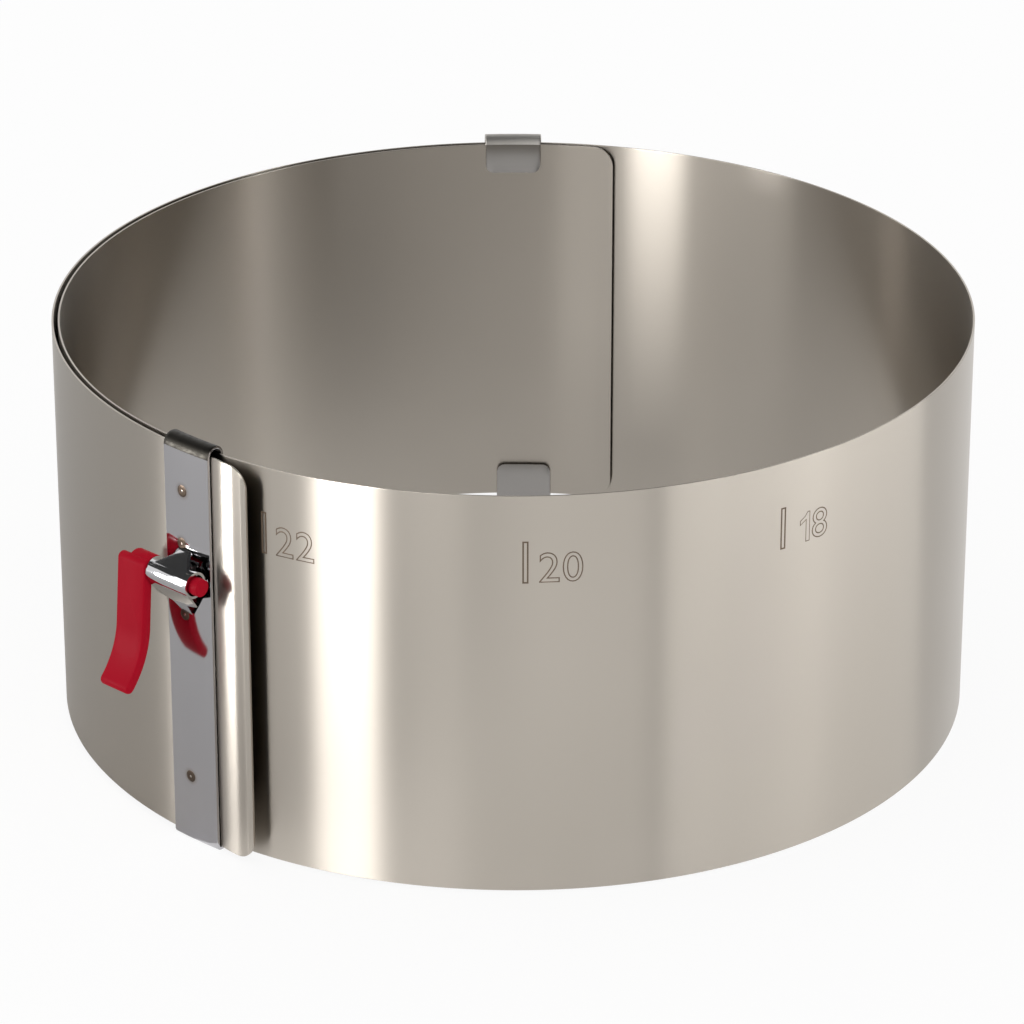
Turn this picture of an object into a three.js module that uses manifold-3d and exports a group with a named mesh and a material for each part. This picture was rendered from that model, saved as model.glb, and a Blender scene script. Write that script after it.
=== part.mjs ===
// Adjustable cake ring: a spring-steel band coiled past one full turn, held by a lever clamp on its outer end
// and by two guide clips on its inner end. Millimetres, +Z up, ring axis on Z, clamp at the front left.

import * as THREE from 'three';
import { mergeVertices } from 'three/addons/utils/BufferGeometryUtils.js';
import Module from 'manifold-3d';

const wasm = await Module();
wasm.setup();

// Band
const ringRadius = 111.6;
const bandHeight = 100;
const bandSheet = 0.5;
const coilPitch = 1.5;
const panelLength = 31.3;
const panelCount = 32;
const innerEndLength = 36.2;
const outerEndAngle = -34.2;
const flaredPanels = 2;
const flareEase = 8;
const cornerRadius = 5;
const seamGap = 0.1;
const panelSteps = 8;
const cornerSteps = 6;

// Lip at the outer end, arched and standing off the layer under it
const lipLength = 10.8;
const lipRise = 1.3;
const lipSteps = 10;

// Fits
const fit = 0.25;
const slideRoom = 0.55;
const runningFit = 0.3;

// Clamp strap
const strapSheet = 0.8;
const strapWidth = 14.2;
const strapFromLip = 0.3;
const strapHookDepth = 8;
const strapLayers = 2.45;
const strapSteps = 6;
const foldSteps = 12;
const floorCorner = 1.3;

// Clamp saddle
const saddleSheet = 0.6;
const saddleLength = 13;
const saddleBelowTop = 30.7;
const axisOffStrap = 4;
const footWidth = 2.4;
const upperFoot = 5.8;
const neckWidth = 4.6;
const neckHeight = 4.6;
const shoulderWidth = 8.5;
const shoulderHeight = 3.4;
const capHeight = 2;
const skirtFoot = 5.6;
const tongueWidth = 4.4;
const tongueTop = 7;
const lowerFoot = 11.5;
const roundSteps = 32;

// Lever
const journalRadius = 2.3;
const camRadius = 1.8;
const camLength = 6.4;
const leverWidth = 8.8;
const leverSheet = 2.9;
const leverSetOut = 2.15;
const leverLean = 4.25;
const hubRadius = 3.2;
const hubLength = 6;
const leverAboveAxis = 2.7;
const leverStraight = 14.5;
const tailRadius = 22;
const tailAngle = 38;
const leverEdge = 0.5;
const leverPanelWidth = 5.6;
const leverPanelTop = 4.6;
const leverPanelTail = 20;
const leverPanelDepth = 0.35;
const leverPanelCorner = 1.2;
const buttonLength = 1.9;
const buttonRadius = 2.5;

// Pressure pad under the cam
const padStem = 4;
const padHead = 5;
const padHeadDepth = 1;
const padReach = 0.7;

// Guide clips
const clipSheet = 0.6;
const clipWidth = 14.4;
const clipFromEnd = 19.1;
const clipOffset = 2.85;
const clipLeg = 9.9;
const clipLayers = 1.95;
const clipRise = 0.3;

const flaredRadius = ringRadius + flareEase;
const bandBottom = strapSheet + fit;
const bandTop = bandBottom + bandHeight;

const bandSteel = new THREE.MeshStandardMaterial({ color: 0xb9b4ac, roughness: 0.32, metalness: 1 });
const strapSteel = new THREE.MeshStandardMaterial({ color: 0xaeb0b6, roughness: 0.18, metalness: 1 });
const chrome = new THREE.MeshStandardMaterial({ color: 0xd8dadd, roughness: 0.06, metalness: 1 });
const redPlastic = new THREE.MeshStandardMaterial({ color: 0xc4101f, roughness: 0.38, metalness: 0 });

const radians = THREE.MathUtils.degToRad;
const outward = (angle) => new THREE.Vector2(Math.sin(angle), -Math.cos(angle));

// The band in plan: arcs laid end to end from the clamp, each tangent to the one before it.
// Past the flared end the radius shrinks steadily, so that the layers keep one pitch apart.
function layOutBand() {
  const panels = [];
  let turned = 0;
  for (let i = 0; i < panelCount; i++) {
    const length = i === panelCount - 1 ? innerEndLength : panelLength;
    const coilRadius = ringRadius - (coilPitch * turned) / (2 * Math.PI);
    const radius = i < flaredPanels ? flaredRadius : coilRadius;
    panels.push({ length, radius, angle: radians(outerEndAngle) - turned });
    turned += length / radius;
  }
  const first = panels[flaredPanels];
  first.start = outward(first.angle).multiplyScalar(ringRadius);
  for (let i = flaredPanels - 1; i >= 0; i--) {
    const chord = panelChord(panels[i], panels[i].length);
    panels[i].start = panels[i + 1].start.clone().sub(chord);
  }
  for (let i = flaredPanels; i + 1 < panelCount; i++) {
    panels[i + 1].start = panels[i].start.clone().add(panelChord(panels[i], panels[i].length));
  }
  return panels;
}

// Step from a panel's start to the point a given length along its arc.
function panelChord(panel, along) {
  const turned = panel.angle - along / panel.radius;
  return outward(turned).sub(outward(panel.angle)).multiplyScalar(panel.radius);
}

// Point at a length along a panel, a distance out from its middle surface, at height z.
function bandPoint(panel, along, out, z) {
  const normal = outward(panel.angle - along / panel.radius);
  const point = panel.start.clone().add(panelChord(panel, along)).addScaledVector(normal, out);
  return new THREE.Vector3(point.x, point.y, z);
}

// Closed solid through a row of matching loops, each anticlockwise seen against the direction of travel.
function loft(sections, outline) {
  const count = outline.length;
  const last = (sections.length - 1) * count;
  const index = [];
  for (let row = 0; row < last; row += count) {
    for (let i = 0; i < count; i++) {
      const a = row + i;
      const b = row + ((i + 1) % count);
      index.push(a, b, b + count, a, b + count, a + count);
    }
  }
  for (const [a, b, c] of THREE.ShapeUtils.triangulateShape(outline, [])) {
    index.push(a, c, b, last + a, last + b, last + c);
  }
  const geometry = new THREE.BufferGeometry();
  const positions = sections.flat().flatMap((point) => point.toArray());
  geometry.setAttribute('position', new THREE.Float32BufferAttribute(positions, 3));
  geometry.setIndex(index);
  return geometry;
}

// Rectangular strip of band between two lengths along a panel, with its own rise and top and bottom inset.
function bandStrip(panel, stations) {
  const half = bandSheet / 2;
  const corners = [[-half, -1], [half, -1], [half, 1], [-half, 1]];
  const sections = stations.map(({ along, rise = 0, inset = 0 }) =>
    corners.map(([out, side]) => {
      const z = side < 0 ? bandBottom + inset : bandTop - inset;
      return bandPoint(panel, along, out + rise, z);
    }));
  return loft(sections, corners.map(([out, side]) => new THREE.Vector2(out, side)));
}

// Lengths along a panel from one value to another, in equal steps.
function evenSteps(from, to, steps) {
  return Array.from({ length: steps + 1 }, (_, i) => from + ((to - from) * i) / steps);
}

// Inset of the rounded corner at a distance from the band's end.
function cornerInset(distance) {
  if (distance >= cornerRadius) return 0;
  const across = cornerRadius - distance;
  return cornerRadius - Math.sqrt(cornerRadius ** 2 - across ** 2);
}

// Distances from the band's end that draw the rounded corner evenly.
function cornerStations() {
  return evenSteps(0, Math.PI / 2, cornerSteps).map((turn) => cornerRadius * (1 - Math.cos(turn)));
}

function makeMiddlePanel(panel) {
  const along = evenSteps(seamGap / 2, panel.length - seamGap / 2, panelSteps);
  return bandStrip(panel, along.map((value) => ({ along: value })));
}

// Outer end: rounded corners, a lip that eases off the coil, then the plain stretch that the strap is welded to.
function makeOuterEnd(panel) {
  const lip = evenSteps(cornerRadius, lipLength, lipSteps);
  const plain = evenSteps(lipLength, panel.length - seamGap / 2, panelSteps);
  const stations = [...cornerStations(), ...lip.slice(1), ...plain.slice(1)].map((along) => {
    return {
      along,
      rise: along < lipLength ? lipRise * (1 - (along / lipLength) ** 2) : 0,
      inset: cornerInset(along),
    };
  });
  return bandStrip(panel, stations);
}

function makeInnerEnd(panel) {
  const plain = evenSteps(seamGap / 2, panel.length - cornerRadius, panelSteps);
  const corner = cornerStations().reverse().map((distance) => panel.length - distance);
  const stations = [...plain, ...corner.slice(1)].map((along) => ({
    along,
    inset: cornerInset(panel.length - along),
  }));
  return bandStrip(panel, stations);
}

// Half-round run of points about a centre, from one turn to another, in the plane of distance out and height.
function arcPoints(out, z, radius, from, to, steps = foldSteps) {
  return evenSteps(from, to, steps).map((turn) =>
    new THREE.Vector2(out + radius * Math.cos(turn), z + radius * Math.sin(turn)));
}

// Sheet folded over the top edges in a half-round roll: the outside run from the outer leg to the hook's foot,
// and the inside run back.
function topFold({ inner, outer, sheet, rollHeight, hookFoot }) {
  const middle = (inner + outer) / 2;
  const reach = (outer - inner) / 2;
  return {
    outside: [...arcPoints(middle, rollHeight, reach, 0, Math.PI), new THREE.Vector2(inner, hookFoot)],
    inside: [
      new THREE.Vector2(inner + sheet, hookFoot),
      ...arcPoints(middle, rollHeight, reach - sheet, Math.PI, 0),
    ],
  };
}

// Sheet folded under the bottom edges with a flat floor: the outside run from the hook's top to the outer leg,
// and the inside run back.
function bottomFold({ inner, outer, sheet, hookTop }) {
  const corner = floorCorner;
  const inside = corner - sheet;
  const steps = foldSteps / 2;
  return {
    outside: [
      new THREE.Vector2(inner, hookTop),
      ...arcPoints(inner + corner, corner, corner, Math.PI, 1.5 * Math.PI, steps),
      ...arcPoints(outer - corner, corner, corner, 1.5 * Math.PI, 2 * Math.PI, steps),
    ],
    inside: [
      ...arcPoints(outer - corner, corner, inside, 2 * Math.PI, 1.5 * Math.PI, steps),
      ...arcPoints(inner + corner, corner, inside, 1.5 * Math.PI, Math.PI, steps),
      new THREE.Vector2(inner + sheet, hookTop),
    ],
  };
}

// A profile drawn in distance out and height, carried along a panel from one length to another.
function alongPanel(panel, profile, from, to, steps) {
  const sections = evenSteps(from, to, steps).map((along) =>
    profile.map((point) => bandPoint(panel, along, point.x, point.y)));
  return loft(sections, profile);
}

// Boolean solids
function toSolid(geometry) {
  const bare = geometry.clone();
  bare.deleteAttribute('normal');
  bare.deleteAttribute('uv');
  const merged = mergeVertices(bare, 1e-4);
  return new wasm.Manifold(new wasm.Mesh({
    numProp: 3,
    vertProperties: new Float32Array(merged.attributes.position.array),
    triVerts: new Uint32Array(merged.index.array),
  }));
}

function toGeometry(solid) {
  const mesh = solid.getMesh();
  const geometry = new THREE.BufferGeometry();
  geometry.setAttribute('position', new THREE.BufferAttribute(mesh.vertProperties, 3));
  geometry.setIndex(new THREE.BufferAttribute(mesh.triVerts, 1));
  return geometry;
}

// Round bar along X between two lengths.
function barAlongX(radius, from, to, y = 0, z = 0) {
  const bar = new THREE.CylinderGeometry(radius, radius, to - from, roundSteps);
  bar.rotateZ(Math.PI / 2);
  return bar.translate((from + to) / 2, y, z);
}

// Outline drawn in height and distance, extruded along X between two lengths.
// The outline's x is the distance outwards and its y is the height.
function extrudeAlongX(shape, from, to, edge = 0) {
  const geometry = new THREE.ExtrudeGeometry(shape, {
    depth: to - from - 2 * edge,
    curveSegments: roundSteps / 2,
    bevelEnabled: edge > 0,
    bevelSize: edge,
    bevelThickness: edge,
    bevelOffset: -edge,
    bevelSegments: 2,
  });
  geometry.rotateX(Math.PI / 2);
  geometry.rotateZ(-Math.PI / 2);
  return geometry.translate(to - edge, 0, 0);
}

function boxBetween(low, high) {
  const size = high.clone().sub(low);
  const middle = high.clone().add(low).multiplyScalar(0.5);
  return new THREE.BoxGeometry(size.x, size.y, size.z).translate(middle.x, middle.y, middle.z);
}

const panels = layOutBand();
const outerPanel = panels[0];
const innerPanel = panels[panelCount - 1];

// Clamp frame: on the strap's outer face at the lever's height, X along the strap, -Y outwards.
const strapInside = bandSheet / 2 + fit;
const strapOutside = strapInside + strapSheet;
const strapStart = lipLength + strapFromLip;
const clampAlong = strapStart + strapWidth / 2;
const clampHeight = bandTop - saddleBelowTop;
const clamp = new THREE.Group();
clamp.position.copy(bandPoint(outerPanel, clampAlong, strapOutside, clampHeight));
clamp.rotation.z = outerPanel.angle - clampAlong / outerPanel.radius;
clamp.updateMatrix();

// Square way through the strap and the band for the pad's stem.
function padWindow() {
  const half = padStem / 2 + runningFit;
  const low = new THREE.Vector3(-half, -strapSheet, -half);
  const high = new THREE.Vector3(half, strapOutside + bandSheet, half);
  return boxBetween(low, high).applyMatrix4(clamp.matrix);
}

function makeOuterBand() {
  return toGeometry(toSolid(makeOuterEnd(outerPanel)).subtract(toSolid(padWindow())));
}

// One sheet: hooked over the top of both layers, down the outside, and hooked under the bottom.
function makeStrap() {
  const inner = -(strapLayers + bandSheet / 2 + slideRoom + strapSheet);
  const middle = (inner + strapOutside) / 2;
  const rollInside = (strapOutside - inner) / 2 - strapSheet;
  const edgeOut = bandSheet / 2 - middle;
  const clearRise = Math.sqrt(rollInside ** 2 - edgeOut ** 2);
  const sides = { inner, outer: strapOutside, sheet: strapSheet };
  const top = topFold({
    ...sides,
    rollHeight: bandTop + fit - clearRise,
    hookFoot: bandTop - strapHookDepth,
  });
  const bottom = bottomFold({ ...sides, hookTop: bandBottom + strapHookDepth });
  const profile = [...bottom.outside, ...top.outside, ...top.inside, ...bottom.inside];
  const sheet = alongPanel(outerPanel, profile, strapStart, strapStart + strapWidth, strapSteps);
  return toGeometry(toSolid(sheet).subtract(toSolid(padWindow())));
}

// Side view of the tent: a sheet rounded over the shaft, with straight legs that land above and below it.
function tentProfile() {
  const bore = journalRadius + runningFit;
  const outer = bore + saddleSheet;
  const stand = axisOffStrap - runningFit;
  const leg = (landing) => {
    const toFoot = Math.atan2(landing, -stand);
    const turn = toFoot - Math.acos(outer / Math.hypot(stand, landing));
    return { turn, inside: (bore + stand * Math.cos(turn)) / Math.sin(turn) };
  };
  const upper = leg(upperFoot);
  const lower = leg(lowerFoot);
  const shape = new THREE.Shape();
  shape.moveTo(runningFit, -lowerFoot);
  shape.absarc(axisOffStrap, 0, outer, -lower.turn, upper.turn, false);
  shape.lineTo(runningFit, upperFoot);
  shape.lineTo(runningFit, upper.inside);
  shape.absarc(axisOffStrap, 0, bore, upper.turn, -lower.turn, true);
  shape.lineTo(runningFit, -lower.inside);
  return shape;
}

// Front view of the tent: a neck above the tube, a skirt as long as the tube below it, and a tongue under the skirt.
function tentOutline() {
  const right = [
    [footWidth, -lowerFoot], [tongueWidth, -tongueTop], [saddleLength, -skirtFoot], [saddleLength, capHeight],
    [shoulderWidth, shoulderHeight], [neckWidth, neckHeight], [footWidth, upperFoot],
  ];
  const left = right.map(([width, z]) => [-width, z]).reverse();
  const outline = new THREE.Shape();
  outline.setFromPoints([...right, ...left].map(([width, z]) => new THREE.Vector2(width / 2, z)));
  return outline;
}

// Pressed sheet saddle: a tube round the lever's shaft and a tent that narrows to a welded foot above and below.
function makeSaddle() {
  const bore = journalRadius + runningFit;
  const outer = bore + saddleSheet;
  const half = saddleLength / 2;
  const tube = toSolid(barAlongX(outer, -half, half, -axisOffStrap));
  const tent = toSolid(extrudeAlongX(tentProfile(), -half, half));
  const depth = axisOffStrap + 2 * outer;
  const prism = new THREE.ExtrudeGeometry(tentOutline(), { depth, bevelEnabled: false });
  prism.rotateX(Math.PI / 2);
  const trimmed = tent.intersect(toSolid(prism));
  const hollow = toSolid(barAlongX(bore, -saddleLength, saddleLength, -axisOffStrap));
  const padHalf = padHead / 2 + runningFit;
  const padRoom = toSolid(boxBetween(
    new THREE.Vector3(-padHalf, -axisOffStrap, -padHalf),
    new THREE.Vector3(padHalf, 0, padHalf),
  ));
  return toGeometry(tube.add(trimmed).subtract(hollow).subtract(padRoom));
}

// Side view of the lever: straight past the shaft, then a tail that curls outwards to a round end.
const leverOut = axisOffStrap + leverSetOut;

function leverProfile() {
  const half = leverSheet / 2;
  const turn = radians(tailAngle);
  const bendOut = leverOut + tailRadius;
  const tipOut = bendOut - tailRadius * Math.cos(turn);
  const tipHeight = -leverStraight - tailRadius * Math.sin(turn);
  const shape = new THREE.Shape();
  shape.moveTo(leverOut - half, leverAboveAxis - half);
  shape.absarc(bendOut, -leverStraight, tailRadius + half, Math.PI, Math.PI + turn, false);
  shape.absarc(tipOut, tipHeight, half, Math.PI + turn, 2 * Math.PI + turn, false);
  shape.absarc(bendOut, -leverStraight, tailRadius - half, Math.PI + turn, Math.PI, true);
  shape.absarc(leverOut, leverAboveAxis - half, half, 0, Math.PI, false);
  return shape;
}

// Shallow recess with round corners that follows the lever's outer face down into the tail.
function leverRecess(middle) {
  const half = leverSheet / 2;
  const face = leverOut + half;
  const turn = radians(leverPanelTail);
  const bendOut = leverOut + tailRadius;
  const faceRadius = tailRadius - half;
  const side = new THREE.Shape();
  side.moveTo(face - leverPanelDepth, -leverPanelTop);
  side.absarc(bendOut, -leverStraight, faceRadius + leverPanelDepth, Math.PI, Math.PI + turn, false);
  side.absarc(bendOut, -leverStraight, faceRadius - leverSheet, Math.PI + turn, Math.PI, true);
  side.lineTo(face + leverSheet, -leverPanelTop);
  const strip = extrudeAlongX(side, middle - leverPanelWidth / 2, middle + leverPanelWidth / 2);
  const corner = leverPanelCorner;
  const x = leverPanelWidth / 2 - corner;
  const top = -leverPanelTop - corner;
  const bottom = -leverStraight - faceRadius * Math.sin(turn) + corner;
  const front = new THREE.Shape();
  front.absarc(x, top, corner, 0, Math.PI / 2, false);
  front.absarc(-x, top, corner, Math.PI / 2, Math.PI, false);
  front.absarc(-x, bottom, corner, Math.PI, 1.5 * Math.PI, false);
  front.absarc(x, bottom, corner, 1.5 * Math.PI, 2 * Math.PI, false);
  const depth = bendOut + leverSheet;
  const window = new THREE.ExtrudeGeometry(front, { depth, bevelEnabled: false, curveSegments: 4 });
  window.rotateX(Math.PI / 2).translate(middle, 0, 0);
  return toSolid(strip).intersect(toSolid(window));
}

// The handle leans, so that its tail stands further off the band than its top.
function leanHandle(geometry) {
  geometry.translate(0, leverOut, 0).rotateX(-radians(leverLean));
  return geometry.translate(0, -leverOut, 0);
}

// Lever: flat handle on the left, a shaft through the saddle with an eccentric middle, and a round button end.
function makeLever() {
  const saddleEnd = saddleLength / 2;
  const right = -saddleEnd - runningFit;
  const left = right - leverWidth;
  const upright = toSolid(extrudeAlongX(leverProfile(), left, right, leverEdge));
  const handle = toSolid(leanHandle(toGeometry(upright.subtract(leverRecess((left + right) / 2)))));
  const button = toSolid(barAlongX(buttonRadius, saddleEnd + runningFit,
    saddleEnd + runningFit + buttonLength, -axisOffStrap));
  const half = camLength / 2;
  const journal = (from, to) => toSolid(barAlongX(journalRadius, from, to, -axisOffStrap));
  const leftJournal = journal(right - hubLength, -half);
  const hub = toSolid(barAlongX(hubRadius, right - hubLength, right, -axisOffStrap));
  const rightJournal = journal(half, saddleEnd + runningFit + buttonLength / 2);
  const camThrow = journalRadius - camRadius;
  const cam = toSolid(barAlongX(camRadius, -half - runningFit, half + runningFit, -axisOffStrap + camThrow));
  const shaft = leftJournal.add(cam).add(rightJournal).add(button);
  return toGeometry(handle.add(hub).add(shaft));
}

// Pad: a head under the cam and a stem that reaches through the strap and the outer layer to the inner layer.
function makePad() {
  const headTop = axisOffStrap - journalRadius - runningFit;
  const square = (side, outer, inner) => toSolid(boxBetween(
    new THREE.Vector3(-side / 2, -outer, -side / 2),
    new THREE.Vector3(side / 2, inner, side / 2),
  ));
  const stemEnd = strapOutside + bandSheet / 2 + padReach;
  const head = square(padHead, headTop, padHeadDepth - headTop);
  return toGeometry(head.add(square(padStem, headTop - padHeadDepth / 2, stemEnd)));
}

// Distances out, from the inner layer's middle, of the clips' two legs.
const clipInner = -(bandSheet / 2 + fit + clipSheet);
const clipOuter = clipLayers + bandSheet / 2 + fit + clipSheet;

const clipSides = { inner: clipInner, outer: clipOuter, sheet: clipSheet };

function makeUpperClip() {
  const rollHeight = bandTop + clipRise;
  const foot = rollHeight + (clipOuter - clipInner) / 2 - clipLeg;
  const fold = topFold({ ...clipSides, rollHeight, hookFoot: foot });
  const outerFoot = [new THREE.Vector2(clipOuter - clipSheet, foot), new THREE.Vector2(clipOuter, foot)];
  const end = innerPanel.length - clipFromEnd;
  const profile = [...outerFoot, ...fold.outside, ...fold.inside];
  return alongPanel(innerPanel, profile, end - clipWidth, end, strapSteps);
}

function makeLowerClip() {
  const fold = bottomFold({ ...clipSides, hookTop: clipLeg });
  const outerTop = [new THREE.Vector2(clipOuter, clipLeg), new THREE.Vector2(clipOuter - clipSheet, clipLeg)];
  const end = innerPanel.length - clipFromEnd + clipOffset;
  const profile = [...fold.outside, ...outerTop, ...fold.inside];
  return alongPanel(innerPanel, profile, end - clipWidth, end, strapSteps);
}

function piece(name, geometry, material) {
  const mesh = new THREE.Mesh(geometry, material);
  mesh.name = name;
  return mesh;
}

const cakeRing = new THREE.Group();
panels.forEach((panel, i) => {
  const name = `band_panel_${String(i + 1).padStart(2, '0')}`;
  const inner = panel === innerPanel ? makeInnerEnd : makeMiddlePanel;
  const geometry = panel === outerPanel ? makeOuterBand() : inner(panel);
  cakeRing.add(piece(name, geometry, bandSteel));
});
cakeRing.add(piece('clamp_strap', makeStrap(), strapSteel));
clamp.add(piece('clamp_saddle', makeSaddle(), chrome));
clamp.add(piece('clamp_lever', makeLever(), redPlastic));
clamp.add(piece('clamp_pad', makePad(), strapSteel));
cakeRing.add(clamp);
cakeRing.add(piece('guide_clip_upper', makeUpperClip(), strapSteel));
cakeRing.add(piece('guide_clip_lower', makeLowerClip(), strapSteel));

export default cakeRing;
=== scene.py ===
import math
import bpy
from mathutils import Matrix, Vector


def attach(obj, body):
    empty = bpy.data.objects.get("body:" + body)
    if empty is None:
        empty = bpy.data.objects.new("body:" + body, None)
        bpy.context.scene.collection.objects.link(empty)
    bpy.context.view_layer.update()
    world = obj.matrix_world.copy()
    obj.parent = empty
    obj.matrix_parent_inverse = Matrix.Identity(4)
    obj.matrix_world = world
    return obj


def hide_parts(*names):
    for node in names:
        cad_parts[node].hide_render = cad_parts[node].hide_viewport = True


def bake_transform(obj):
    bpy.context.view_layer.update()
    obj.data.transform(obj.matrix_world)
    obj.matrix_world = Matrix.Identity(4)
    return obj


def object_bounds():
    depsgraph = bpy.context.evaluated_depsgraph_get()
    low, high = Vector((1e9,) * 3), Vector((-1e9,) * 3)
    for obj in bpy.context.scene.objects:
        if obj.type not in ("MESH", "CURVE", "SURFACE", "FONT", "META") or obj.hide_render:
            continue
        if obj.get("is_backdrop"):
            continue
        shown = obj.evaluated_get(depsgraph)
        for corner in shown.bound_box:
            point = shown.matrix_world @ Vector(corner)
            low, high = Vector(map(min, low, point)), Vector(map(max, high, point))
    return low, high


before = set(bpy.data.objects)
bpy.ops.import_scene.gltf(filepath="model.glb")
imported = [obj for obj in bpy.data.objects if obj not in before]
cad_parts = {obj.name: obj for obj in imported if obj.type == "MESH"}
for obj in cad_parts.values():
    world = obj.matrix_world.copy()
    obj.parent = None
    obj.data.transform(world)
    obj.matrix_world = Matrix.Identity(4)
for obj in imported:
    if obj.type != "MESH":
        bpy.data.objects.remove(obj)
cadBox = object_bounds()
scene = bpy.context.scene
print("frame loaded:", len(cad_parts), "solids")

# camera at the photograph's angle
view = {
    "target": (-0.00087, 0.0, 0.04604),
    "distance": 1.2666,
    "elevation": 24.867,
    "lens": 180.85,
    "sensor": 36.0,
}
tilt = math.radians(view["elevation"])
bpy.ops.object.camera_add(
    location=(
        view["target"][0],
        view["target"][1] - view["distance"] * math.cos(tilt),
        view["target"][2] + view["distance"] * math.sin(tilt),
    ),
    rotation=(math.pi / 2 - tilt, 0, 0),
)
camera = bpy.context.object
camera.name = "photo_camera"
camera.data.lens = view["lens"]
camera.data.sensor_width = view["sensor"]
scene.camera = camera
print("camera placed")


# the band in plan, the same arcs as the solids
band = {
    "radius": 0.1116,
    "height": 0.1,
    "sheet": 0.0005,
    "pitch": 0.0015,
    "panelLength": 0.0313,
    "panelCount": 32,
    "innerEndLength": 0.0362,
    "outerEndAngle": -34.2,
    "flaredPanels": 2,
    "flareEase": 0.008,
    "bottom": 0.00105,
    "cornerRadius": 0.005,
    "cornerSteps": 8,
    "lipLength": 0.0108,
    "lipRise": 0.0013,
    "lipSteps": 12,
    "edgeRound": 0.00014,
    "arcStep": 0.0016,
    "leastEnd": 0.001,
    "smoothTo": 40,
}
bandTop = band["bottom"] + band["height"]
bandMiddle = band["bottom"] + band["height"] / 2


def outward(angle):
    return Vector((math.sin(angle), -math.cos(angle), 0))


def layOutBand():
    panels, turned = [], 0.0
    flared = band["flaredPanels"]
    for i in range(band["panelCount"]):
        last = i == band["panelCount"] - 1
        length = band["innerEndLength"] if last else band["panelLength"]
        radius = band["radius"] - band["pitch"] * turned / (2 * math.pi)
        if i < flared:
            radius = band["radius"] + band["flareEase"]
        angle = math.radians(band["outerEndAngle"]) - turned
        panels.append({"length": length, "radius": radius, "angle": angle})
        turned += length / radius
    panels[flared]["start"] = outward(panels[flared]["angle"]) * band["radius"]
    for i in range(flared - 1, -1, -1):
        panels[i]["start"] = panels[i + 1]["start"] - panelChord(panels[i], panels[i]["length"])
    for i in range(flared, band["panelCount"] - 1):
        panels[i + 1]["start"] = panels[i]["start"] + panelChord(panels[i], panels[i]["length"])
    for panel in panels:
        panel["centre"] = panel["start"] - outward(panel["angle"]) * panel["radius"]
    return panels


def headingAt(panel, along):
    return panel["angle"] - along / panel["radius"]


def panelChord(panel, along):
    return (outward(headingAt(panel, along)) - outward(panel["angle"])) * panel["radius"]


def bandPoint(panel, along, out=0.0, z=0.0):
    place = panel["start"] + panelChord(panel, along) + outward(headingAt(panel, along)) * out
    place.z = z
    return place


panels = layOutBand()
bodyNames = ["outer_end"]
bodyNames += [f"band_{i:02d}" for i in range(2, band["panelCount"])]
bodyNames += ["inner_end"]


# edit-mode helpers, as used by hand
meshing = {
    "seed": 0.001,  # side of the plane that an outline starts from
    "mergeWithin": 1e-7,
    "rimFrom": 0.5,  # faces that look up or down more than this belong to a rim
    "roundMatch": 0.9995,
}


def deselectAll():
    if bpy.context.object and bpy.context.object.mode != "OBJECT":
        bpy.ops.object.mode_set(mode="OBJECT")
    bpy.ops.object.select_all(action="DESELECT")


def makeActive(piece):
    deselectAll()
    piece.select_set(True)
    bpy.context.view_layer.objects.active = piece


def applyPlace(piece, place):
    makeActive(piece)
    piece.matrix_world = place
    bpy.ops.object.transform_apply(location=True, rotation=True, scale=True)


def startPoint(name, place):
    deselectAll()
    bpy.ops.mesh.primitive_plane_add(size=meshing["seed"], location=(0, 0, 0))
    piece = bpy.context.object
    piece.name = name
    piece.data.name = name
    bpy.ops.object.mode_set(mode="EDIT")
    bpy.ops.mesh.merge(type="CENTER")
    bpy.ops.transform.translate(value=place)
    return piece


def extrudeThrough(places):
    for a, b in zip(places, places[1:]):
        bpy.ops.mesh.extrude_vertices_move(TRANSFORM_OT_translate={"value": b - a})


def closeOutline(places):
    extrudeThrough(places)
    bpy.ops.mesh.select_all(action="SELECT")
    bpy.ops.mesh.edge_face_add()


def spinAbout(centre, turn, steps):
    bpy.ops.mesh.spin(steps=steps, angle=turn, center=centre, axis=(0, 0, 1))


def selectOpenEdges():
    bpy.ops.mesh.select_non_manifold(
        use_wire=False, use_multi_face=False, use_non_contiguous=False, use_verts=False)


def closeSolid():
    bpy.ops.mesh.select_all(action="SELECT")
    bpy.ops.mesh.remove_doubles(threshold=meshing["mergeWithin"])
    bpy.ops.mesh.select_all(action="DESELECT")
    selectOpenEdges()
    bpy.ops.mesh.fill_holes(sides=0)
    bpy.ops.mesh.select_all(action="SELECT")
    bpy.ops.mesh.normals_make_consistent(inside=False)
    bpy.ops.object.mode_set(mode="OBJECT")


# turns an open profile once round the z axis
def turnProfile(name, profile, steps):
    places = [Vector((out, 0, up)) for out, up in profile]
    piece = startPoint(name, places[0])
    extrudeThrough(places)
    bpy.ops.mesh.select_all(action="SELECT")
    spinAbout((0, 0, 0), 2 * math.pi, steps)
    closeSolid()
    return piece


def applyModifier(piece, kind, **settings):
    modifier = piece.modifiers.new(kind.lower(), kind)
    for key, value in settings.items():
        setattr(modifier, key, value)
    bpy.ops.object.modifier_apply(modifier=modifier.name)


def smoothByAngle(degrees):
    bpy.ops.object.shade_smooth_by_angle(angle=math.radians(degrees))


# two finishes on one piece, the second where the test holds for a face's middle
def paintFaces(piece, plainSteel, otherSteel, test):
    piece.data.materials.append(plainSteel)
    piece.data.materials.append(otherSteel)
    for face in piece.data.polygons:
        face.material_index = 1 if test(face.center) else 0


# shared finishes
def groupSocket(group, name, direction, kind, value=None):
    socket = group.interface.new_socket(name=name, in_out=direction, socket_type=kind)
    if value is not None:
        socket.default_value = value


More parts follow.
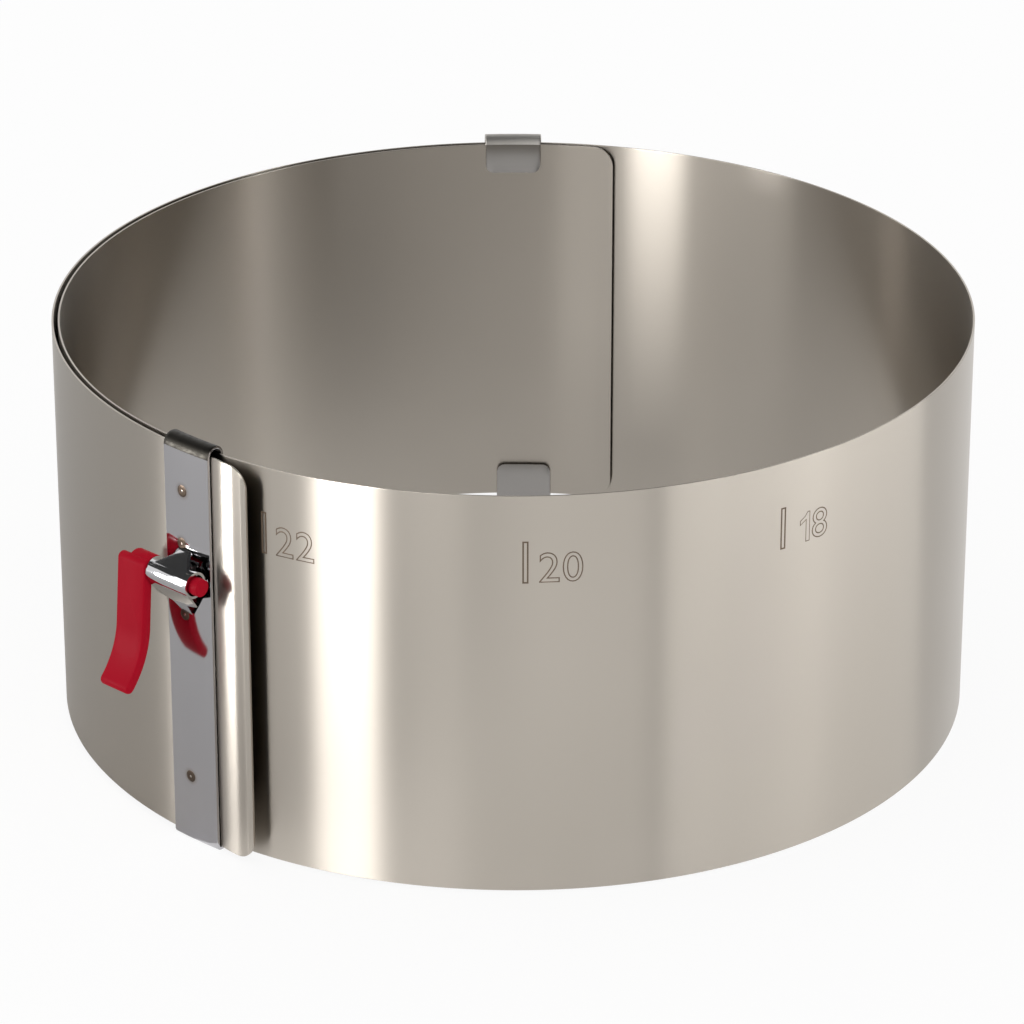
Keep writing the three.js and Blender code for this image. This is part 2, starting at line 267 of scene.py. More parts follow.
def makeRollGrain():
    group = bpy.data.node_groups.new("rollGrain", "ShaderNodeTree")
    groupSocket(group, "Along", "INPUT", "NodeSocketFloat", 30.0)
    groupSocket(group, "Across", "INPUT", "NodeSocketFloat", 2500.0)
    groupSocket(group, "Cloud Size", "INPUT", "NodeSocketFloat", 14.0)
    groupSocket(group, "Grain", "OUTPUT", "NodeSocketFloat")
    groupSocket(group, "Clouds", "OUTPUT", "NodeSocketFloat")
    nodes, links = group.nodes, group.links
    given, result = nodes.new("NodeGroupInput"), nodes.new("NodeGroupOutput")
    place = nodes.new("ShaderNodeTexCoord")
    stretch = nodes.new("ShaderNodeCombineXYZ")
    scaled = nodes.new("ShaderNodeVectorMath")
    scaled.operation = "MULTIPLY"
    grain, clouds = nodes.new("ShaderNodeTexNoise"), nodes.new("ShaderNodeTexNoise")
    grain.inputs["Scale"].default_value = 1.0
    grain.inputs["Detail"].default_value = 3.0
    clouds.inputs["Detail"].default_value = 3.0
    for axis, source in (("X", "Along"), ("Y", "Along"), ("Z", "Across")):
        links.new(given.outputs[source], stretch.inputs[axis])
    links.new(place.outputs["Object"], scaled.inputs[0])
    links.new(stretch.outputs[0], scaled.inputs[1])
    links.new(scaled.outputs[0], grain.inputs["Vector"])
    links.new(place.outputs["Object"], clouds.inputs["Vector"])
    links.new(given.outputs["Cloud Size"], clouds.inputs["Scale"])
    links.new(grain.outputs[0], result.inputs["Grain"])
    links.new(clouds.outputs[0], result.inputs["Clouds"])
    return group


def makeSoftHalo():
    group = bpy.data.node_groups.new("softHalo", "ShaderNodeTree")
    groupSocket(group, "Centre", "INPUT", "NodeSocketVector")
    groupSocket(group, "Reach", "INPUT", "NodeSocketFloat", 0.003)
    groupSocket(group, "Mask", "OUTPUT", "NodeSocketFloat")
    nodes, links = group.nodes, group.links
    given, result = nodes.new("NodeGroupInput"), nodes.new("NodeGroupOutput")
    place = nodes.new("ShaderNodeTexCoord")
    away = nodes.new("ShaderNodeVectorMath")
    away.operation = "DISTANCE"
    fade = nodes.new("ShaderNodeMapRange")
    fade.interpolation_type = "SMOOTHSTEP"
    fade.inputs["To Min"].default_value = 1.0
    fade.inputs["To Max"].default_value = 0.0
    links.new(place.outputs["Object"], away.inputs[0])
    links.new(given.outputs["Centre"], away.inputs[1])
    links.new(away.outputs["Value"], fade.inputs["Value"])
    links.new(given.outputs["Reach"], fade.inputs["From Max"])
    links.new(fade.outputs[0], result.inputs["Mask"])
    return group


rollGrain = makeRollGrain()
softHalo = makeSoftHalo()
grainDepth = 0.00005
noiseRange = (0.3, 0.7)  # where nearly all of a noise lies


def addGrain(nodes, cloudSize):
    grain = nodes.new("ShaderNodeGroup")
    grain.node_tree = rollGrain
    grain.inputs["Cloud Size"].default_value = cloudSize
    return grain


def addHalo(nodes, centre, reach):
    halo = nodes.new("ShaderNodeGroup")
    halo.node_tree = softHalo
    halo.inputs["Centre"].default_value = centre
    halo.inputs["Reach"].default_value = reach
    return halo.outputs["Mask"]


def addBump(nodes, links, grain, strength):
    bump = nodes.new("ShaderNodeBump")
    bump.inputs["Strength"].default_value = strength
    bump.inputs["Distance"].default_value = grainDepth
    links.new(grain.outputs["Grain"], bump.inputs["Height"])
    links.new(bump.outputs["Normal"], nodes["Principled BSDF"].inputs["Normal"])


def newMaterial(name, colour):
    material = bpy.data.materials.new(name)
    material.use_nodes = True
    material.diffuse_color = (*colour, 1)
    return material, material.node_tree.nodes, material.node_tree.links


def mixColours(nodes, links, mask, first, second):
    mix = nodes.new("ShaderNodeMix")
    mix.data_type = "RGBA"
    for socket, value in (("A", first), ("B", second)):
        colour = [s for s in mix.inputs if s.name == socket and s.type == "RGBA"][0]
        if isinstance(value, tuple):
            colour.default_value = (*value, 1)
        else:
            links.new(value, colour)
    links.new(mask, mix.inputs["Factor"])
    return [s for s in mix.outputs if s.type == "RGBA"][0]


def spread(nodes, links, value, low, high):
    ranged = nodes.new("ShaderNodeMapRange")
    ranged.inputs["From Min"].default_value = noiseRange[0]
    ranged.inputs["From Max"].default_value = noiseRange[1]
    ranged.inputs["To Min"].default_value = low
    ranged.inputs["To Max"].default_value = high
    links.new(value, ranged.inputs["Value"])
    return ranged.outputs[0]


def makeSteel(name, finish, halos=()):
    material, nodes, links = newMaterial(name, finish["light"])
    shader = nodes["Principled BSDF"]
    shader.inputs["Metallic"].default_value = 1
    shader.inputs["Anisotropic"].default_value = finish["anisotropic"]
    upright = nodes.new("ShaderNodeCombineXYZ")  # roll marks run round, so gloss spreads upwards
    upright.inputs["Z"].default_value = 1
    links.new(upright.outputs[0], shader.inputs["Tangent"])
    grain = addGrain(nodes, finish["cloudSize"])
    clouds = grain.outputs["Clouds"]
    colour = mixColours(nodes, links, clouds, finish["light"], finish["dark"])
    for centre, reach in halos:
        colour = mixColours(nodes, links, addHalo(nodes, centre, reach), colour, finish["tint"])
    links.new(colour, shader.inputs["Base Color"])
    roughness = spread(nodes, links, clouds, *finish["roughness"])
    links.new(roughness, shader.inputs["Roughness"])
    addBump(nodes, links, grain, finish["bump"])
    return material


bandFinish = {
    "light": (0.46, 0.422, 0.374),
    "dark": (0.425, 0.387, 0.34),
    "roughness": (0.278, 0.30),
    "anisotropic": 1.0,
    "cloudSize": 16.0,
    "bump": 0.02,
}
bandSteel = makeSteel("band_satin_steel", bandFinish)


# clamp place, the same as the solids
clamp = {
    "belowTop": 0.0307,
    "axisOff": 0.004,
    "saddleLength": 0.013,
    "padStem": 0.004,
    "runningFit": 0.0003,
}
strap = {
    "sheet": 0.0008,
    "width": 0.0142,
    "fromLip": 0.0003,
    "hookDepth": 0.008,
    "layers": 0.00245,
    "slideRoom": 0.00055,
    "fit": 0.00025,
    "floorCorner": 0.0013,
    "foldSteps": 24,
    "arcSteps": 14,
    "edgeRound": 0.00015,
    "smoothTo": 35,
}
strapOutside = band["sheet"] / 2 + strap["fit"] + strap["sheet"]
strapStart = band["lipLength"] + strap["fromLip"]
clampAlong = strapStart + strap["width"] / 2
clampHeading = headingAt(panels[0], clampAlong)
clampPlace = bandPoint(panels[0], clampAlong, strapOutside, bandTop - clamp["belowTop"])
clampFrame = Matrix.Translation(clampPlace) @ Matrix.Rotation(clampHeading, 4, "Z")


def cutPadWindow(piece):
    deselectAll()
    side = clamp["padStem"] + 2 * clamp["runningFit"]
    deep = 2 * strapOutside + band["sheet"]
    bpy.ops.mesh.primitive_cube_add(size=1, location=(0, 0, 0))
    cutter = bpy.context.object
    inwards = Matrix.Translation((0, deep / 2 - strap["sheet"], 0))
    applyPlace(cutter, clampFrame @ inwards @ Matrix.Diagonal((side, deep, side, 1)))
    makeActive(piece)
    applyModifier(piece, "BOOLEAN", object=cutter, operation="DIFFERENCE", solver="EXACT")
    bpy.data.objects.remove(cutter)


# band pieces, each from the middle of one panel to the middle of the next
def sectionOutline(panel, along):
    half, edge = band["sheet"] / 2, band["edgeRound"]
    low, high = band["bottom"], bandTop
    corners = [(-half, low), (half, low), (half, high), (-half, high)]
    places = []
    for i, (out, z) in enumerate(corners):
        turn = math.pi * (1 + i / 2)
        middle = (out - math.copysign(edge, out), z + (edge if z == low else -edge))
        for step in range(3):
            around = turn + step * math.pi / 4
            outAt = middle[0] + edge * math.cos(around)
            heightAt = middle[1] + edge * math.sin(around)
            places.append(bandPoint(panel, along, outAt, heightAt))
    return places


def startSection(name, panel, along):
    places = sectionOutline(panel, along)
    piece = startPoint(name, places[0])
    closeOutline(places)
    return piece


def sweepPanel(panel, fromAlong, toAlong):
    turn = (toAlong - fromAlong) / panel["radius"]
    steps = max(2, round(abs(toAlong - fromAlong) / band["arcStep"]))
    spinAbout(panel["centre"], turn, steps)


# normals of the true arcs, so that the metal mirrors without kinks
def keepRoundNormals(piece, arcs):
    mesh = piece.data
    normals = [Vector(corner.vector) for corner in mesh.corner_normals]
    for face in mesh.polygons:
        if abs(face.normal.z) > meshing["rimFrom"]:
            continue
        arc = min(arcs, key=lambda a: (face.center - a["middle"]).length)
        for corner in face.loop_indices:
            out = mesh.vertices[mesh.loops[corner].vertex_index].co - arc["centre"]
            out.z = 0
            out.normalize()
            if abs(out.dot(face.normal)) > meshing["roundMatch"]:  # leaves the lip its own bend
                normals[corner] = out if out.dot(face.normal) > 0 else -out
    mesh.normals_split_custom_set(normals)


def arcOf(panel, fromAlong, toAlong):
    middle = bandPoint(panel, (fromAlong + toAlong) / 2, 0, bandMiddle)
    return {"centre": panel["centre"], "middle": middle}


def finishBandPiece(piece, arcs):
    if piece.mode == "EDIT":
        closeSolid()
    smoothByAngle(band["smoothTo"])
    keepRoundNormals(piece, arcs)
    piece.data.materials.append(bandSteel)
    return piece


def middleOf(index):
    return panels[index]["length"] / 2


def blendBand(piece, index):
    start = bandPoint(panels[index - 1], middleOf(index - 1), 0, bandMiddle)
    end = bandPoint(panels[index], middleOf(index), 0, bandMiddle)
    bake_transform(piece)


def makeBendPiece(index):
    before, after = panels[index - 1], panels[index]
    piece = startSection(f"band_bend_{index:02d}_skin", before, middleOf(index - 1))
    sweepPanel(before, middleOf(index - 1), before["length"])
    sweepPanel(after, 0, middleOf(index))
    if index == 1:
        closeSolid()
        cutPadWindow(piece)
    finishBandPiece(piece, [
        arcOf(before, middleOf(index - 1), before["length"]), arcOf(after, 0, middleOf(index))])
    blendBand(piece, index)
    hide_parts(f"band_panel_{index + 1:02d}")
    return piece


def cornerInset(distance, radius=band["cornerRadius"]):
    if distance >= radius:
        return 0.0
    return radius - math.sqrt(radius ** 2 - (radius - distance) ** 2)


def cornerStations():
    steps = band["cornerSteps"]
    turns = [math.pi / 2 * i / steps for i in range(steps + 1)]
    return [band["cornerRadius"] * (1 - math.cos(turn)) for turn in turns]


# carries the open end of a band piece on, station by station
def carryOn(panel, stations, here):
    heightNow = band["height"]
    for along, rise, inset in stations:
        there = bandPoint(panel, along, rise, bandMiddle)
        bpy.ops.mesh.extrude_region_move(TRANSFORM_OT_translate={"value": there - here})
        height = max(band["height"] - 2 * inset, band["leastEnd"])
        bpy.ops.transform.resize(value=(1, 1, height / heightNow), center_override=there)
        here, heightNow = there, height


def lipRiseAt(along):
    return band["lipRise"] * (1 - (along / band["lipLength"]) ** 2)


def makeOuterEnd():
    panel = panels[0]
    piece = startSection("band_outer_end_skin", panel, middleOf(0))
    sweepPanel(panel, middleOf(0), band["lipLength"])
    straight, steps = band["lipLength"] - band["cornerRadius"], band["lipSteps"]
    along = [band["lipLength"] - straight * i / steps for i in range(1, steps + 1)]
    along += cornerStations()[::-1][1:]
    stations = [(s, lipRiseAt(s), cornerInset(s)) for s in along]
    carryOn(panel, stations, bandPoint(panel, band["lipLength"], 0, bandMiddle))
    finishBandPiece(piece, [arcOf(panel, band["lipLength"], middleOf(0))])
    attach(piece, "outer_end")
    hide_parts("band_panel_01")
    return piece


def makeInnerEnd():
    index = band["panelCount"] - 1
    panel = panels[index]
    plain = panel["length"] - band["cornerRadius"]
    piece = startSection("band_inner_end_skin", panel, middleOf(index))
    sweepPanel(panel, middleOf(index), plain)
    corner = [panel["length"] - distance for distance in cornerStations()][::-1][1:]
    stations = [(s, 0.0, cornerInset(panel["length"] - s)) for s in corner]
    carryOn(panel, stations, bandPoint(panel, plain, 0, bandMiddle))
    finishBandPiece(piece, [arcOf(panel, middleOf(index), plain)])
    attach(piece, "inner_end")
    return piece


bandPieces = [makeOuterEnd()]
bandPieces += [makeBendPiece(i) for i in range(1, band["panelCount"])]
bandPieces += [makeInnerEnd()]
print("band:", len(bandPieces), "pieces")


# scale marks, thin outlines on the outside of the band
scale = {
    "first": 0.57115,
    "spacing": 0.0619,
    "numbers": (18, 20, 22, 24, 26, 28, 30),
    "barLow": 0.0795,
    "barHeight": 0.0104,
    "barWidth": 0.0014,
    "line": 0.00038,
    "digitLine": 0.38,  # half the width of a digit's line, as a share of the bar's
    "digitLow": 0.0796,
    "digitHeight": 0.0076,
    "digitWidth": 0.00475,
    "digitCurve": 6,
    "oneWidth": 0.003,
    "oneCorners": (
        (0.4, 0), (0.4, 1), (0.31, 1), (0.2, 0.86),
        (0.0, 0.74), (0.0, 0.6), (0.25, 0.75), (0.25, 0)),
    "digitStep": 0.0053,
    "digitsFromBar": 0.0023,
    "proud": 0.00003,
    "sunk": 0.0001,
}
markInk = {
    "light": (0.15, 0.105, 0.07),
    "dark": (0.09, 0.065, 0.045),
    "metallic": 0.6,
    "roughness": 0.55,
    "cloudSize": 900.0,
}


def makeMarkInk():
    material, nodes, links = newMaterial("scale_etching", markInk["light"])
    shader = nodes["Principled BSDF"]
    shader.inputs["Metallic"].default_value = markInk["metallic"]
    shader.inputs["Roughness"].default_value = markInk["roughness"]
    clouds = addGrain(nodes, markInk["cloudSize"]).outputs["Clouds"]
    colour = mixColours(nodes, links, clouds, markInk["light"], markInk["dark"])
    links.new(colour, shader.inputs["Base Color"])
    return material


markMaterial = makeMarkInk()


def makeBar():
    deselectAll()
    bpy.ops.mesh.primitive_plane_add(size=1, location=(0, 0, 0))
    bar = bpy.context.object
    bpy.ops.object.mode_set(mode="EDIT")
    bpy.ops.transform.resize(value=(scale["barWidth"], scale["barHeight"], 1))
    bpy.ops.transform.translate(value=(0, scale["barLow"] + scale["barHeight"] / 2, 0))
    bpy.ops.mesh.inset(thickness=scale["line"], depth=0)
    bpy.ops.mesh.delete(type="FACE")
    bpy.ops.mesh.select_all(action="SELECT")
    bpy.ops.mesh.extrude_region_move(TRANSFORM_OT_translate={"value": (0, 0, 1)})
    bpy.ops.mesh.select_all(action="SELECT")
    bpy.ops.mesh.normals_make_consistent(inside=False)
    bpy.ops.object.mode_set(mode="OBJECT")
    return bar


def makeOne():
    corners = scale["oneCorners"]
    outline = bpy.data.curves.new("one", "CURVE")
    line = outline.splines.new("POLY")
    line.points.add(len(corners) - 1)
    for point, corner in zip(line.points, corners):
        point.co = (*corner, 0, 1)
    line.use_cyclic_u = True
    one = bpy.data.objects.new("one", outline)
    scene.collection.objects.link(one)
    makeActive(one)
    return one


# one character as a raised outline, scaled to its width and height
def makeDigit(character, fromBar):
    deselectAll()
    wide = scale["digitWidth"]
    if character == "1":
        digit, wide = makeOne(), scale["oneWidth"]
    else:
        bpy.ops.object.text_add(location=(0, 0, 0))
        digit = bpy.context.object
        digit.data.body = character
    digit.data.fill_mode = "NONE"
    digit.data.resolution_u = scale["digitCurve"]
    digit.data.bevel_depth = scale["line"] / scale["digitHeight"] * scale["digitLine"]
    digit.data.bevel_resolution = 1
    bpy.ops.object.convert(target="MESH")
    digit = bpy.context.object
    low, high = ([pick(v.co[axis] for v in digit.data.vertices) for axis in range(3)]
                 for pick in (min, max))
    sizes = (wide, scale["digitHeight"], 1)
    bpy.ops.object.mode_set(mode="EDIT")
    bpy.ops.mesh.select_all(action="SELECT")
    bpy.ops.transform.translate(value=[-value for value in low])
    bpy.ops.transform.resize(value=[size / (b - a) for size, a, b in zip(sizes, low, high)],
                             center_override=(0, 0, 0))
    bpy.ops.transform.translate(value=(fromBar + scale["digitWidth"] - wide, scale["digitLow"], 0))
    bpy.ops.object.mode_set(mode="OBJECT")
    return digit


def makeMark(number, along):
    bar = makeBar()
    start = scale["barWidth"] / 2 + scale["digitsFromBar"]
    digits = [makeDigit(character, start + scale["digitStep"] * i)
              for i, character in enumerate(str(number))]
    deselectAll()
    for part in digits + [bar]:
        part.select_set(True)
    bpy.context.view_layer.objects.active = bar
    bpy.ops.object.join()
    mark = bpy.context.object
    mark.name = f"scale_mark_{number}"
    mark.data.name = mark.name
    thick = scale["proud"] + scale["sunk"]
    for vertex in mark.data.vertices:
        index, local = panelAt(along - vertex.co.x)
        out = band["sheet"] / 2 - scale["sunk"] + thick * vertex.co.z
        vertex.co = bandPoint(panels[index], local, out, vertex.co.y)
    mark.data.materials.append(markMaterial)
    index, local = panelAt(along)
    index += 1 if local > middleOf(index) else 0
    blendBand(mark, index)
    return mark


def panelAt(along):
    for index, panel in enumerate(panels):
        if along <= panel["length"]:
            return index, along
        along -= panel["length"]
    return len(panels) - 1, panels[-1]["length"]


marks = [makeMark(number, scale["first"] + scale["spacing"] * i)
         for i, number in enumerate(scale["numbers"])]
print("scale:", len(marks), "marks")


# folded sheet pieces
def arcPoints(out, z, radius, fromTurn, toTurn, steps):
    turns = [fromTurn + (toTurn - fromTurn) * i / steps for i in range(steps + 1)]
    return [(out + radius * math.cos(turn), z + radius * math.sin(turn)) for turn in turns]


def topFold(inner, outer, sheet, rollHeight, hookFoot, steps):
    middle, reach = (inner + outer) / 2, (outer - inner) / 2
    outside = arcPoints(middle, rollHeight, reach, 0, math.pi, steps) + [(inner, hookFoot)]
    inside = [(inner + sheet, hookFoot)]
    return outside, inside + arcPoints(middle, rollHeight, reach - sheet, math.pi, 0, steps)


def bottomFold(inner, outer, sheet, hookTop, corner, steps):
    quarter = math.pi / 2
    outside = [(inner, hookTop)]
    outside += arcPoints(inner + corner, corner, corner, 2 * quarter, 3 * quarter, steps)
    outside += arcPoints(outer - corner, corner, corner, 3 * quarter, 4 * quarter, steps)
    inside = arcPoints(outer - corner, corner, corner - sheet, 4 * quarter, 3 * quarter, steps)
    inside += arcPoints(inner + corner, corner, corner - sheet, 3 * quarter, 2 * quarter, steps)
    return outside, inside + [(inner + sheet, hookTop)]


def sweepProfile(name, panel, profile, fromAlong, toAlong, steps):
    places = [bandPoint(panel, fromAlong, out, z) for out, z in profile]
    piece = startPoint(name, places[0])
    closeOutline(places)
    spinAbout(panel["centre"], (toAlong - fromAlong) / panel["radius"], steps)
    closeSolid()
    return piece


def roundEdges(piece, width, segments=2, degrees=50):
    makeActive(piece)
    applyModifier(piece, "BEVEL", width=width, segments=segments, limit_method="ANGLE",
                  angle_limit=math.radians(degrees), use_clamp_overlap=True)


strapFinish = {
    "light": (0.56, 0.55, 0.565),
    "dark": (0.51, 0.50, 0.515),
    "tint": (0.23, 0.15, 0.10),
    "roughness": (0.05, 0.09),
    "anisotropic": 0.3,
    "cloudSize": 40.0,
    "bump": 0.01,
}
foldFinish = {
    **strapFinish,
    "light": (0.05, 0.046, 0.04),
    "dark": (0.028, 0.026, 0.022),
    "roughness": (0.32, 0.48),
    "cloudSize": 700.0,
    "bump": 0.15,
}
weld = {
    "places": ((-0.0012, 0.0903), (-0.0018, 0.0769), (-0.0014, 0.0590), (-0.0010, 0.0171)),
    "halo": 0.0026,
    "profile": (
        (0.0, 0.00012), (0.0003, 0.0001), (0.0006, 0.00002), (0.0009, 0.00008),
        (0.0012, 0.00004), (0.0015, -0.00002), (0.0015, -0.0002), (0.0, -0.0002)),
    "turns": 28,
    "smoothTo": 50,
    "bright": 0.0004,
}
nuggetFinish = {
    **strapFinish,
    "light": (0.52, 0.47, 0.41),
    "dark": (0.34, 0.29, 0.25),
    "roughness": (0.2, 0.26),
    "cloudSize": 900.0,
}
weldRingFinish = {
    **nuggetFinish,
    "light": (0.095, 0.07, 0.052),
    "dark": (0.055, 0.04, 0.03),
    "roughness": (0.28, 0.4),
}


def strapPoint(across, z):
    place = clampFrame @ Vector((across, 0, 0))
    place.z = z
    return place


strapHalos = [(strapPoint(*place), weld["halo"]) for place in weld["places"]]
strapSteel = makeSteel("strap_bright_steel", strapFinish, strapHalos)
foldSteel = makeSteel("strap_dark_fold", foldFinish)


def makeStrap():
    sheet, steps = strap["sheet"], strap["foldSteps"]
    end = strapStart + strap["width"]
    inner = -(strap["layers"] + band["sheet"] / 2 + strap["slideRoom"] + sheet)
    rollInside = (strapOutside - inner) / 2 - sheet
    edgeOut = band["sheet"] / 2 - (inner + strapOutside) / 2
    rollHeight = bandTop + strap["fit"] - math.sqrt(rollInside ** 2 - edgeOut ** 2)
    topOut, topIn = topFold(
        inner, strapOutside, sheet, rollHeight, bandTop - strap["hookDepth"], steps)
    lowOut, lowIn = bottomFold(
        inner, strapOutside, sheet, band["bottom"] + strap["hookDepth"], strap["floorCorner"],
        steps // 2)
    piece = sweepProfile("clamp_strap_sheet", panels[0], lowOut + topOut + topIn + lowIn,
                         strapStart, end, strap["arcSteps"])
    cutPadWindow(piece)
    roundEdges(piece, strap["edgeRound"])
    smoothByAngle(strap["smoothTo"])
    keepRoundNormals(piece, [arcOf(panels[0], strapStart, end)])
    paintFaces(piece, strapSteel, foldSteel, lambda middle: middle.z > rollHeight)
    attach(piece, "outer_end")
    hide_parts("clamp_strap")


def makeWelds():
    bright = makeSteel("weld_nugget", nuggetFinish)
    brown = makeSteel("weld_ring", weldRingFinish)
    first = turnProfile("weld_1", weld["profile"], weld["turns"])
    smoothByAngle(weld["smoothTo"])
    paintFaces(first, brown, bright, lambda middle: middle.xy.length < weld["bright"])
    welds = [first]
    for i in range(1, len(weld["places"])):
        copy = first.copy()
        copy.data = first.data.copy()
        copy.name = copy.data.name = f"weld_{i + 1}"
        scene.collection.objects.link(copy)
        welds.append(copy)
    turned = Matrix.Rotation(clampHeading, 4, "Z") @ Matrix.Rotation(math.pi / 2, 4, "X")
    for piece, place in zip(welds, weld["places"]):
        applyPlace(piece, Matrix.Translation(strapPoint(*place)) @ turned)
        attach(piece, "outer_end")


makeStrap()
makeWelds()
print("strap and welds made")


# guide clips on the band's inner end
clip = {
    "sheet": 0.0006,
    "width": 0.0144,
    "fromEnd": 0.0191,
    "offset": 0.00285,
    "leg": 0.0099,
    "layers": 0.00195,
    "rise": 0.0003,
    "cornerRound": 0.0021,
    "steps": 36,
    "edgeRound": 0.0001,
    "smoothTo": 35,
    "footWithin": 1e-6,
}
clipInner = -(band["sheet"] / 2 + strap["fit"] + clip["sheet"])
clipOuter = clip["layers"] + band["sheet"] / 2 + strap["fit"] + clip["sheet"]
clipFinish = {
    **strapFinish,
    "light": (0.31, 0.297, 0.284),
    "dark": (0.275, 0.262, 0.249),
    "roughness": (0.16, 0.22),
    "anisotropic": 0.7,
}
# painted highlight: the upper clip's roll is coloured much lighter than its leg, standing in for
# the light it catches
clipRollHighlightFinish = {
    **clipFinish,
    "light": (0.62, 0.595, 0.56),
    "dark": (0.55, 0.53, 0.5),
    "roughness": (0.42, 0.5),
}
clipSteel = makeSteel("clip_steel", clipFinish)
clipRollHighlightSteel = makeSteel("clip_roll_painted_highlight", clipRollHighlightFinish)


def roundLegCorners(piece, start, end, footHeight):
    panel, inward = panels[-1], math.copysign(1, bandMiddle - footHeight)
    for vertex in piece.data.vertices:
        if abs(vertex.co.z - footHeight) > clip["footWithin"]:
            continue
        out = vertex.co - panel["centre"]
        turned = (panel["angle"] - math.atan2(out.x, -out.y)) % (2 * math.pi)
        along = turned * panel["radius"]
        distance = max(0.0, min(along - start, end - along))
        vertex.co.z -= inward * cornerInset(distance, clip["cornerRound"])


def makeClip(name, profile, node, end, footHeight, rollFrom):
    start = end - clip["width"]
    piece = sweepProfile(name, panels[-1], profile, start, end, clip["steps"])
    roundLegCorners(piece, start, end, footHeight)
    roundEdges(piece, clip["edgeRound"])
    smoothByAngle(clip["smoothTo"])
    # faces above rollFrom take the lighter roll colour, a painted highlight
    paintFaces(piece, clipSteel, clipRollHighlightSteel, lambda middle: middle.z > rollFrom)
    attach(piece, "inner_end")
    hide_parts(node)


def makeUpperClip():
    sheet = clip["sheet"]
    rollHeight = bandTop + clip["rise"]
    foot = rollHeight + (clipOuter - clipInner) / 2 - clip["leg"]
    outside, inside = topFold(clipInner, clipOuter, sheet, rollHeight, foot, strap["foldSteps"])
    profile = [(clipOuter - sheet, foot), (clipOuter, foot)] + outside + inside
    makeClip("guide_clip_upper_sheet", profile, "guide_clip_upper",
             panels[-1]["length"] - clip["fromEnd"], foot, rollHeight)


def makeLowerClip():
    sheet, top = clip["sheet"], clip["leg"]
    outside, inside = bottomFold(
        clipInner, clipOuter, sheet, top, strap["floorCorner"], strap["foldSteps"] // 2)
    profile = outside + [(clipOuter, top), (clipOuter - sheet, top)] + inside
    makeClip("guide_clip_lower_sheet", profile, "guide_clip_lower",
             panels[-1]["length"] - clip["fromEnd"] + clip["offset"], top, bandTop)


makeUpperClip()
makeLowerClip()
print("guide clips made")


# saddle and lever start from a copy of the solid
solidCopy = {"mergeWithin": 2e-6, "flatWithin": 1}


def copyNode(name, nodeName):
    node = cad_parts[nodeName]
    piece = node.copy()
    piece.data = node.data.copy()
    for key in list(piece.keys()):
        del piece[key]
    piece.name = piece.data.name = name
    scene.collection.objects.link(piece)
    piece.parent = None
    piece.matrix_world = Matrix.Identity(4)
    makeActive(piece)
    bpy.ops.mesh.customdata_custom_splitnormals_clear()
    bpy.ops.object.mode_set(mode="EDIT")
    bpy.ops.mesh.select_all(action="SELECT")
    bpy.ops.mesh.remove_doubles(threshold=solidCopy["mergeWithin"])
    bpy.ops.mesh.dissolve_limited(angle_limit=math.radians(solidCopy["flatWithin"]))
    bpy.ops.object.mode_set(mode="OBJECT")
    piece.data.materials.clear()
    return piece


chromeFinish = {
    "light": (0.62, 0.62, 0.63),
    "dark": (0.57, 0.57, 0.58),
    "roughness": (0.04, 0.08),
    "anisotropic": 0.0,
    "cloudSize": 180.0,
    "bump": 0.005,
}
chrome = makeSteel("saddle_chrome", chromeFinish)
saddle = {"edgeRound": 0.0004, "roundSteps": 4, "roundFrom": 18, "smoothTo": 50}
lever = {
    "light": (0.43, 0.005, 0.02),
    "dark": (0.37, 0.004, 0.016),
    "roughness": (0.45, 0.55),
    "specular": 0.03,
    "speckle": 2600.0,
    "cloudSize": 120.0,
    "bump": 0.12,
    "edgeRound": 0.0001,
    "roundSteps": 2,
    "roundFrom": 40,
    "smoothTo": 35,
    "hollow": {"left": -0.01402, "right": -0.00838, "low": -0.0214, "high": -0.0132},
}
button = {
    "share": 0.82,  # the shaft's end is slimmer than its solid
    "radius": 0.0021,
    "round": 0.0007,
    "roundSteps": 8,
    "from": 0.0068,
    "length": 0.00196,
    "dome": ((0.45, 0.00004), (0.0, 0.00006)),  # share of the radius, and rise
    "turns": 40,
    "smoothTo": 40,
}


def makeRedPlastic():
    material, nodes, links = newMaterial("lever_red_plastic", lever["light"])
    shader = nodes["Principled BSDF"]
    shader.inputs["Specular IOR Level"].default_value = lever["specular"]
    grain = addGrain(nodes, lever["cloudSize"])
    for name in ("Along", "Across"):
        grain.inputs[name].default_value = lever["speckle"]
    colour = mixColours(nodes, links, grain.outputs["Clouds"], lever["light"], lever["dark"])
    links.new(colour, shader.inputs["Base Color"])
    roughness = spread(nodes, links, grain.outputs["Grain"], *lever["roughness"])
    links.new(roughness, shader.inputs["Roughness"])
    addBump(nodes, links, grain, lever["bump"])
    return material


redPlastic = makeRedPlastic()


def makeSaddle():
    piece = copyNode("clamp_saddle_press", "clamp_saddle")
    roundEdges(piece, saddle["edgeRound"], saddle["roundSteps"], saddle["roundFrom"])
    smoothByAngle(saddle["smoothTo"])
    piece.data.materials.append(chrome)
    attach(piece, "outer_end")
    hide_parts("clamp_saddle")


def slimButton(piece):
    back = clampFrame.inverted()
    for vertex in piece.data.vertices:
        local = back @ vertex.co
        if local.x > clamp["saddleLength"] / 2 + clamp["runningFit"] / 2:
            local.y = -clamp["axisOff"] + (local.y + clamp["axisOff"]) * button["share"]
            local.z *= button["share"]
            vertex.co = clampFrame @ local


